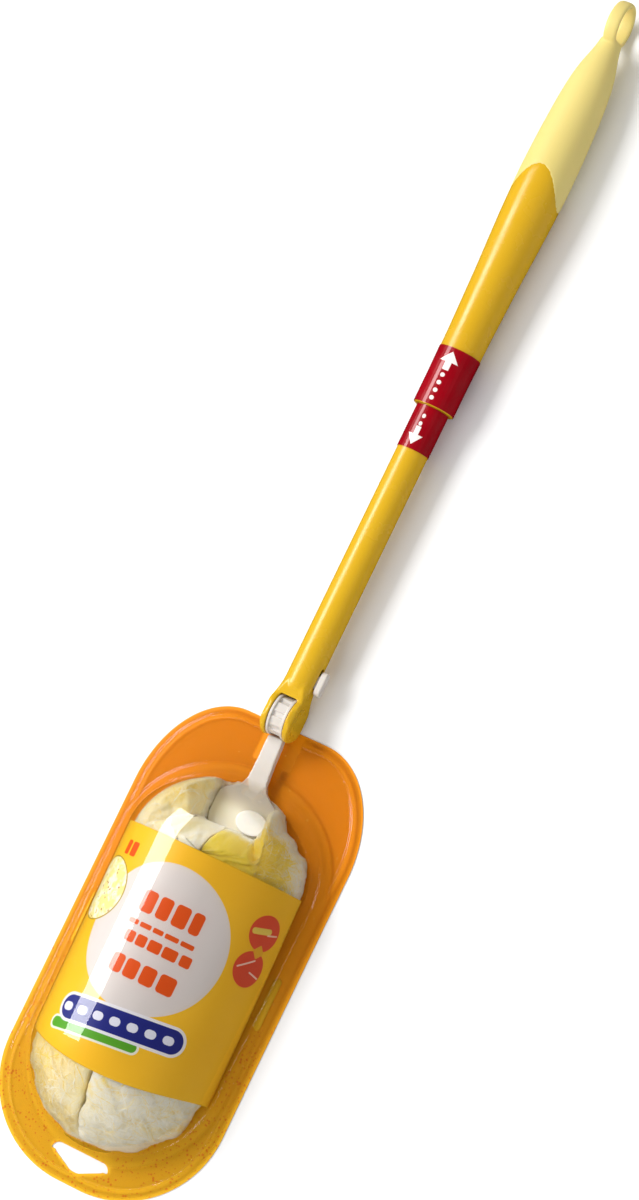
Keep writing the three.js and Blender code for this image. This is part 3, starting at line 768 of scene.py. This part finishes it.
def read_mesh(o):
    me = o.data
    co = np.zeros(len(me.vertices) * 3, np.float32)
    me.vertices.foreach_get("co", co)
    no = np.zeros(len(me.vertices) * 3, np.float32)
    me.vertices.foreach_get("normal", no)
    return co.reshape(-1, 3).astype(float) * 1000, no.reshape(-1, 3).astype(float)


def copy_of(name, new_name, voxel, rounds):
    o = bpy.data.objects.new(new_name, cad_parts[name].data.copy())
    bpy.context.scene.collection.objects.link(o)
    rm = o.modifiers.new("r", "REMESH")
    rm.mode, rm.voxel_size = "VOXEL", voxel * MM
    sm = o.modifiers.new("s", "SMOOTH")
    sm.factor, sm.iterations = 0.5, rounds
    bpy.context.view_layer.update()
    apply_modifiers(o)
    o.data.name = new_name
    return o


def slope_to_fork(p, sy):
    """Lower an arm lobe towards the fork's root, and let it spill a little over it."""
    near = np.exp(-((p[:, 0] - 71) / 3.5) ** 2) * (np.abs(p[:, 1]) < 20.2) * (p[:, 2] > 9)
    p[:, 0] += 7.5 * near
    p[:, 2] = np.where(near > 0.05, np.maximum(p[:, 2], 10.1), p[:, 2])
    dx = np.clip(79 - p[:, 0], 0, None)
    dy = np.clip(np.abs(p[:, 1]) - 17.5, 0, None)
    far = np.hypot(dx, dy)
    t = np.clip(far / 30, 0, 1)
    rise = np.where(dx > dy, 36.0, 19.0 if sy > 0 else 27.0)
    limit = 9.6 + rise * np.sqrt(1 - (1 - t) ** 2) + 0.32 * far
    p[:, 2] = np.minimum(p[:, 2], limit)
    return p


def hold_in_dome(name, p, sy, seed):
    """Draw the lobe's points in until they stand clear of the dome and the insert."""
    off = (-3.4 if sy > 0 else -5.4) if "mid" in name else -4.6 if "arm" in name else -1.6
    if "tip" in name:
        off = off - 2.2 * np.clip((p[:, 0] + 86) / 7, 0, 1)
    if sy < 0 and "arm" in name:
        # the right lobe stops short of the dome's end and stands off its side
        w = np.clip((np.abs(p[:, 1]) - 17) / 12, 0, 1)
        p[:, 0] -= 0.30 * w * np.clip(p[:, 0] - 62, 0, None)
        off = off - 3.4 + 0.8 * wobble(p, 0.28, seed + 7)
    rho, m = in_dome(p, off)
    k = np.where(rho > 1, 1 / np.maximum(rho, 1e-6), 1.0)
    p[:, 0] = m + (p[:, 0] - m) * k
    p[:, 1] *= k
    return p


def fluff_tone(name, p, sy, seed):
    """How yellow the fibre is at each point, from 0 to 1."""
    tone0 = TONES[name][0]
    foot = 21 if sy < 0 and "arm" in name else 13
    rim = np.clip((p[:, 2] - foot - 3 * wobble(p, 0.25, seed)) / 9, 0, 1)
    tone = tone0 * (0.35 + 0.65 * rim) + 0.33 * wobble(p, 0.06, seed + 4) \
        + 0.12 * wobble(p, 0.3, seed + 5)
    if sy < 0 and "arm" in name:
        tone = (tone + 0.25) * (0.25 + 0.75 * rim)
    if name == "fluff_tip_right":
        # strands combed round in curved streaks
        d = np.hypot(p[:, 0] + 50, p[:, 1] + 27) + 2.2 * wobble(p, 0.12, seed + 8)
        tone = tone - 0.2
        for r0, wide, amp in ((37.0, 2.0, 0.75), (42.5, 1.2, 0.6), (48.0, 2.4, 0.8),
                              (55.0, 1.4, 0.5)):
            part = np.clip(0.7 + 1.2 * wobble(p, 0.09, seed + int(r0)), 0, 1)
            tone = tone + amp * part * np.exp(-((d - r0) / wide) ** 2)
    return np.clip(tone, 0, 1)


def strands(p, faces, tone, sy, seed):
    """Tapered ribbons that follow the lobe's surface: verts, faces and a tone for each vert."""
    rng = np.random.default_rng(seed)
    tree = BVHTree.FromPolygons([Vector(v) for v in p], faces)
    tri = np.array([f[:3] for f in faces])
    area = np.linalg.norm(np.cross(p[tri[:, 1]] - p[tri[:, 0]], p[tri[:, 2]] - p[tri[:, 0]]),
                          axis=1)
    centre = p[tri].mean(1)
    area *= (in_dome(centre, -1.3)[0] > 0.72) * (centre[:, 2] > 5)
    picks = rng.choice(len(faces), STRANDS, p=area / area.sum())
    fv, ff, ft = [], [], []
    for q, f in enumerate(picks):
        broad = q % 3 == 0
        at = Vector(centre[f]) + Vector(rng.normal(0, 0.8, 3))
        hit = tree.find_nearest(at)
        swirl = float(wobble(np.array([[at.x, at.y, at.z]]), 0.05, seed)[0]) * 1.4
        d = Vector((math.sin(swirl) * 0.9, math.cos(swirl) * sy, -0.25))
        d += Vector(rng.normal(0, 0.35, 3))
        lift = rng.uniform(0.1, 0.45) if broad else rng.uniform(0.05, 0.8)
        step = rng.uniform(2.2, 3.6) if broad else rng.uniform(1.0, 2.2)
        curl = rng.normal(0, 0.22)
        wide = rng.uniform(0.2, 0.42) if broad else rng.uniform(0.09, 0.2)
        pts, nrms = [], []
        at = hit[0]
        for s in range(STEPS):
            hit = tree.find_nearest(at)
            nrm = hit[1]
            pts.append(hit[0] + nrm * lift * math.sin(math.pi * (s + 0.5) / STEPS))
            nrms.append(nrm.copy())
            d = (d - nrm * d.dot(nrm)).normalized()
            d = (d + nrm.cross(d) * curl).normalized()
            at = hit[0] + d * step
        shade = float(np.clip(tone[faces[f][0]] + rng.normal(0, 0.12)
                              + (0.34 if q % 9 == 0 else -0.12 if broad else 0), 0, 1))
        b0 = len(p) + len(fv)
        for s in range(STEPS):
            t = pts[min(s + 1, STEPS - 1)] - pts[max(s - 1, 0)]
            w = nrms[s].cross(t)
            w = w.normalized() * wide * (1 - 0.85 * abs(2 * s / (STEPS - 1) - 1)) \
                if w.length > 1e-6 else w * 0
            fv += [pts[s] - w, pts[s] + w]
            ft += [shade, shade]
        for s in range(STEPS - 1):
            ff.append((b0 + 2 * s, b0 + 2 * s + 1, b0 + 2 * s + 3, b0 + 2 * s + 2))
    return np.array([tuple(v) for v in fv]), ff, ft


def fluff_piece(name):
    seed = TONES[name][1]
    sy = 1 if "left" in name else -1
    o = copy_of(name, name + "_fibre", 1.2, 26)
    p, n = read_mesh(o)
    lo, hi = box_mm(name)
    if "arm" in name:
        p = slope_to_fork(p, sy)
    move_to(o, p)
    sm = o.modifiers.new("s", "SMOOTH")
    sm.factor, sm.iterations = 0.5, 12
    bpy.context.view_layer.update()
    apply_modifiers(o)
    p, n = read_mesh(o)
    lump = 1.8 * wobble(p, 0.075, seed) + 1.1 * wobble(p, 0.17, seed + 9) \
        + 0.35 * wobble(p, 0.5, seed + 3)
    p = p + n * (lump + 0.9)[:, None]
    p = hold_in_dome(name, np.minimum(np.maximum(p, lo), hi), sy, seed)
    faces = [tuple(f.vertices) for f in o.data.polygons]
    tone = fluff_tone(name, p, sy, seed)
    fv, ff, ft = strands(p, faces, tone, sy, seed)
    bpy.data.objects.remove(o)
    o = make(name + "_fibre", np.concatenate([p, fv]), faces + ff, FLUFF, "head")
    o.data.materials.append(STRAND.m)
    index = np.zeros(len(faces) + len(ff), np.int32)
    index[len(faces):] = 1
    o.data.polygons.foreach_set("material_index", index)
    att = o.data.attributes.new("tone", "FLOAT", "POINT")
    att.data.foreach_set("value", np.concatenate([tone, ft]).astype(np.float32))
    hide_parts(name)
    return o


def sleeve_piece():
    o = copy_of("refill_sleeve", "refill_pocket", 0.9, 3)
    p, n = read_mesh(o)
    ripple = 0.18 * wobble(p, 0.5, 2) * (np.abs(n[:, 2]) > 0.5)
    seam = np.exp(-((np.abs(p[:, 1]) - 1.2) / 0.9) ** 2) * (np.abs(n[:, 2]) > 0.7)
    stitch = 0.5 + 0.5 * np.cos(p[:, 0] * 2 * np.pi / 6)
    p += n * (ripple - 0.35 * seam * stitch)[:, None]
    move_to(o, p)
    paint(o, SLEEVE)
    shade_smooth(o.data)
    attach(o, "head")
    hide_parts("refill_sleeve")
    return o


# ---- grip: one soft moulding from the wavy edge to the hang loop -------------------------------
HANDLE = [(202, 12.6), (222, 12.65), (251, 13.1), (271, 13.7), (291, 14.3), (310, 15.2),
          (330, 16.05), (349, 16.45), (359, 16.5), (369, 16.3), (379, 16.0), (388, 15.6),
          (398, 15.1), (407, 14.5), (416, 13.6), (424, 12.5), (431, 11.0), (437, 9.2),
          (443, 7.6), (448, 6.6)]
LOOP_S = GRIP[1][0] - PX - 14.9


def handle_radius(s):
    ss, rr = zip(*HANDLE)
    return float(np.interp(s, ss, rr))


def smooth_radius(s):
    w = np.array([1, 4, 6, 4, 1]) / 16
    return sum(wi * handle_radius(s + 3.0 * (i - 2)) for i, wi in enumerate(w))


def turned_shell(s_from, s_to, radius, n=72, rows=90, closed=True):
    """Verts and faces of a lathe about the handle axis; s_from may depend on the angle."""
    verts, faces = [], []
    for i in range(n):
        a = 2 * math.pi * i / n
        f = s_from(a) if callable(s_from) else s_from
        for k in range(rows):
            s = f + (s_to - f) * k / (rows - 1)
            r = radius(s, k / (rows - 1))
            verts.append((PX + s, r * math.sin(a), PZ + r * math.cos(a)))
    faces = grid_faces(n, rows, wrap=True, flip=True)
    if closed:
        verts += [(PX + (s_from(0) if callable(s_from) else s_from), 0, PZ), (PX + s_to, 0, PZ)]
        c0, c1 = len(verts) - 2, len(verts) - 1
        for i in range(n):
            j = (i + 1) % n
            faces.append((c0, i * rows, j * rows))
            faces.append((c1, j * rows + rows - 1, i * rows + rows - 1))
    return verts, faces


def grip_edge(a):
    return 349.8 + 10.5 * math.cos(2 * a)


def grip_piece():
    v, f = turned_shell(grip_edge, 449.5, lambda s, k: smooth_radius(s) + 0.12)
    body = make("grip_tmp", v, f, None, None)
    ring_v = []
    n, mseg = 72, 20
    for i in range(n):
        a = 2 * math.pi * i / n
        for k in range(mseg):
            b = 2 * math.pi * k / mseg
            c = math.copysign(abs(math.cos(b)) ** 0.75, math.cos(b))
            s = math.copysign(abs(math.sin(b)) ** 0.75, math.sin(b))
            rr = 13.1 + 1.8 * c
            ring_v.append((PX + LOOP_S + rr * math.cos(a), 4.3 * s, PZ + rr * math.sin(a)))
    faces = []
    for i in range(n):
        j = (i + 1) % n
        for k in range(mseg):
            q = (k + 1) % mseg
            faces.append((i * mseg + k, i * mseg + q, j * mseg + q, j * mseg + k))
    ring = make("ring_tmp", ring_v, faces, None, None)
    hole = bmesh.new()
    bmesh.ops.create_cone(hole, cap_ends=True, segments=64, radius1=11.5 * MM, radius2=11.5 * MM,
                          depth=40 * MM, matrix=Matrix.Translation(
                              Vector((PX + LOOP_S, 0, PZ)) * MM) @ Matrix.Rotation(
                                  math.pi / 2, 4, "X"))
    hm = bpy.data.meshes.new("hole_tmp")
    hole.to_mesh(hm)
    hole.free()
    ho = bpy.data.objects.new("hole_tmp", hm)
    bpy.context.scene.collection.objects.link(ho)
    for other, op in ((ho, "DIFFERENCE"), (ring, "UNION")):
        mod = body.modifiers.new("b", "BOOLEAN")
        mod.object, mod.operation, mod.solver = other, op, "EXACT"
    rm = body.modifiers.new("r", "REMESH")
    rm.mode, rm.voxel_size = "VOXEL", 0.55 * MM
    sm = body.modifiers.new("s", "SMOOTH")
    sm.factor, sm.iterations = 0.5, 7
    bpy.context.view_layer.update()
    apply_modifiers(body)
    bpy.data.objects.remove(ring)
    bpy.data.objects.remove(ho)
    body.name = "grip_soft"
    body.data.name = "grip_soft"
    paint(body, GRIP_MAT)
    shade_smooth(body.data)
    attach(body, "handle")
    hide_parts("grip")
    return body


def outer_tube_piece():
    prof = [(202.0, 10.65), (202.0, 12.25), (202.15, 12.5), (202.5, 12.62)]
    for s in np.linspace(204, 372, 60):
        prof.append((s, smooth_radius(max(s, 208)) - 0.35 * (1 if s > 362 else 0)))
    prof += [(373, 12.2), (396, 12.2), (396, 10.65)]
    n = 80
    verts = []
    for i in range(n):
        a = 2 * math.pi * i / n
        for s, r in prof:
            if s > 335 and r > 12.3:
                r -= 0.4 * smooth(grip_edge(a) + 0.4, grip_edge(a) + 1.4, s)
            verts.append((PX + s, r * math.sin(a), PZ + r * math.cos(a)))
    faces = grid_faces(n, len(prof), wrap=True, flip=True)
    m = len(prof)
    for i in range(n):
        j = (i + 1) % n
        faces.append((i * m + m - 1, j * m + m - 1, j * m, i * m))
    o = make("outer_tube_shell", verts, faces, YELLOW, "handle")
    o.data.set_sharp_from_angle(angle=math.radians(40))
    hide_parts("outer_tube")
    return o


def true_tube(o):
    """Bring the round part of the remeshed tube back to its exact radius."""
    p, _ = read_mesh(o)
    s = p[:, 0] - PX
    r = np.hypot(p[:, 1], p[:, 2] - PZ)
    w = np.clip((s - 22) / 6, 0, 1) * (np.abs(r - TUBE_R) < 0.45) * (s < 386)
    k = 1 + w * (TUBE_R / np.maximum(r, 1e-6) - 1)
    p[:, 1] *= k
    p[:, 2] = PZ + (p[:, 2] - PZ) * k
    move_to(o, p)
    o.data.update()


def moulded(node, new_name, voxel, rounds, mat, body, keep=1.0):
    """A rounded copy of a CAD node, with the soft edges of a moulding."""
    o = copy_of(node, new_name, voxel, rounds)
    if keep < 1:
        d = o.modifiers.new("d", "DECIMATE")
        d.ratio = keep
        bpy.context.view_layer.update()
        apply_modifiers(o)
        o.data.name = new_name
    paint(o, mat)
    shade_smooth(o.data)
    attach(o, body)
    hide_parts(node)
    return o


# ---- all the pieces ----------------------------------------------------------------------------
card_piece()
blister_piece()
insert_piece()
for lobe in TONES:
    fluff_piece(lobe)
sleeve_piece()
grip_piece()
outer_tube_piece()
moulded("fork", "fork_moulding", 0.5, 5, ARM, "head", 0.4)
moulded("fork_stud", "stud_moulding", 0.3, 4, FROST, "head")
moulded("ratchet_drum", "drum_moulding", 0.3, 3, WHITE, "head", 0.5)
true_tube(moulded("inner_tube", "tube_moulding", 0.55, 9, YELLOW, "tube"))
moulded("lock_slider", "button_moulding", 0.25, 5, WHITE, "lock")
# CAD nodes that stay: smooth shading kept to shallow angles
for name, mat in KEPT.items():
    paint(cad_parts[name], mat)
    shade_smooth(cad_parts[name].data)
    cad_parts[name].data.set_sharp_from_angle(angle=math.radians(34))

# ---- floor, light, camera ----------------------------------------------------------------------
floor_me = bpy.data.meshes.new("floor")
floor_me.from_pydata([(-6, -6, 0), (6, -6, 0), (6, 6, 0), (-6, 6, 0)], [], [(0, 1, 2, 3)])
floor = bpy.data.objects.new("floor", floor_me)
bpy.context.scene.collection.objects.link(floor)
fm = Mat("floor_paper", Roughness=0.9)
fm.colour(fm.mix(fm.noise(3, 2), (0.93, 0.93, 0.93, 1), (0.92, 0.92, 0.92, 1)))
floor_me.materials.append(fm.m)
floor.visible_glossy = False

DISTANCE = 2.4273
phi, psi, roll = math.radians(18.98), math.radians(5.658), math.radians(-25.90)
back = Vector((-math.sin(psi), -math.sin(phi) * math.cos(psi), math.cos(phi) * math.cos(psi)))
lift = Vector((1, 0, 0)) - back * back.x
lift.normalize()
side = lift.cross(back)
right = side * math.cos(roll) - lift * math.sin(roll)
up = lift * math.cos(roll) + side * math.sin(roll)
target = Vector((225.3, 17.56, CARD_TOP)) * MM
cam_data = bpy.data.cameras.new("camera")
cam = bpy.data.objects.new("camera", cam_data)
bpy.context.scene.collection.objects.link(cam)
cam_data.sensor_fit = "VERTICAL"
cam_data.sensor_height = 36
cam_data.lens = 122.71
cam_data.clip_end = 50
place = target + back * DISTANCE
cam.matrix_world = Matrix((
    (right.x, up.x, back.x, place.x), (right.y, up.y, back.y, place.y),
    (right.z, up.z, back.z, place.z), (0, 0, 0, 1)))
bpy.context.scene.camera = cam


def lamp(name, where, aim, w, h, power):
    data = bpy.data.lights.new(name, "AREA")
    data.shape = "RECTANGLE"
    data.size, data.size_y = w, h
    data.energy = power
    o = bpy.data.objects.new(name, data)
    bpy.context.scene.collection.objects.link(o)
    d = (Vector(aim) - Vector(where)).normalized()
    z = -d
    x = Vector((1, 0, 0)) - z * z.x
    x.normalize()
    y = z.cross(x)
    o.matrix_world = Matrix(((x.x, y.x, z.x, where[0]), (x.y, y.y, z.y, where[1]),
                             (x.z, y.z, z.z, where[2]), (0, 0, 0, 1)))
    return o


# the long softbox is placed where the dome mirrors it left of its ridge
mirror_at = Vector((0.0, 20.5, 52.3)) * MM
normal = Vector((0, 0.265, 0.964)).normalized()
view_dir = (place - mirror_at).normalized()
ray = (2 * normal.dot(view_dir) * normal - view_dir).normalized()
strip_at = mirror_at + ray * 1.15 + Vector((0.27, 0, 0))
strip = lamp("strip", strip_at, mirror_at + Vector((0.27, 0, 0)), 0.92, 0.46, 13)
strip.visible_diffuse = False
key = lamp("key", (0.65, 1.6, 1.9), (0.15, 0, 0), 1.8, 1.1, 66)
key.visible_glossy = False
low = lamp("low", (-1.5, 0.2, 1.6), (0.0, 0, 0), 1.4, 1.4, 22)
low.visible_glossy = False
fill = lamp("fill", (0.2, -1.9, 1.5), (0.2, 0, 0), 2.0, 1.0, 5)
fill.visible_glossy = False
world = bpy.data.worlds.new("studio")
world.use_nodes = True
world.node_tree.nodes["Background"].inputs["Color"].default_value = (1, 1, 1, 1)
world.node_tree.nodes["Background"].inputs["Strength"].default_value = 0.40
bpy.context.scene.world = world
world.cycles_visibility.glossy = False
bpy.context.scene.view_settings.view_transform = "Standard"
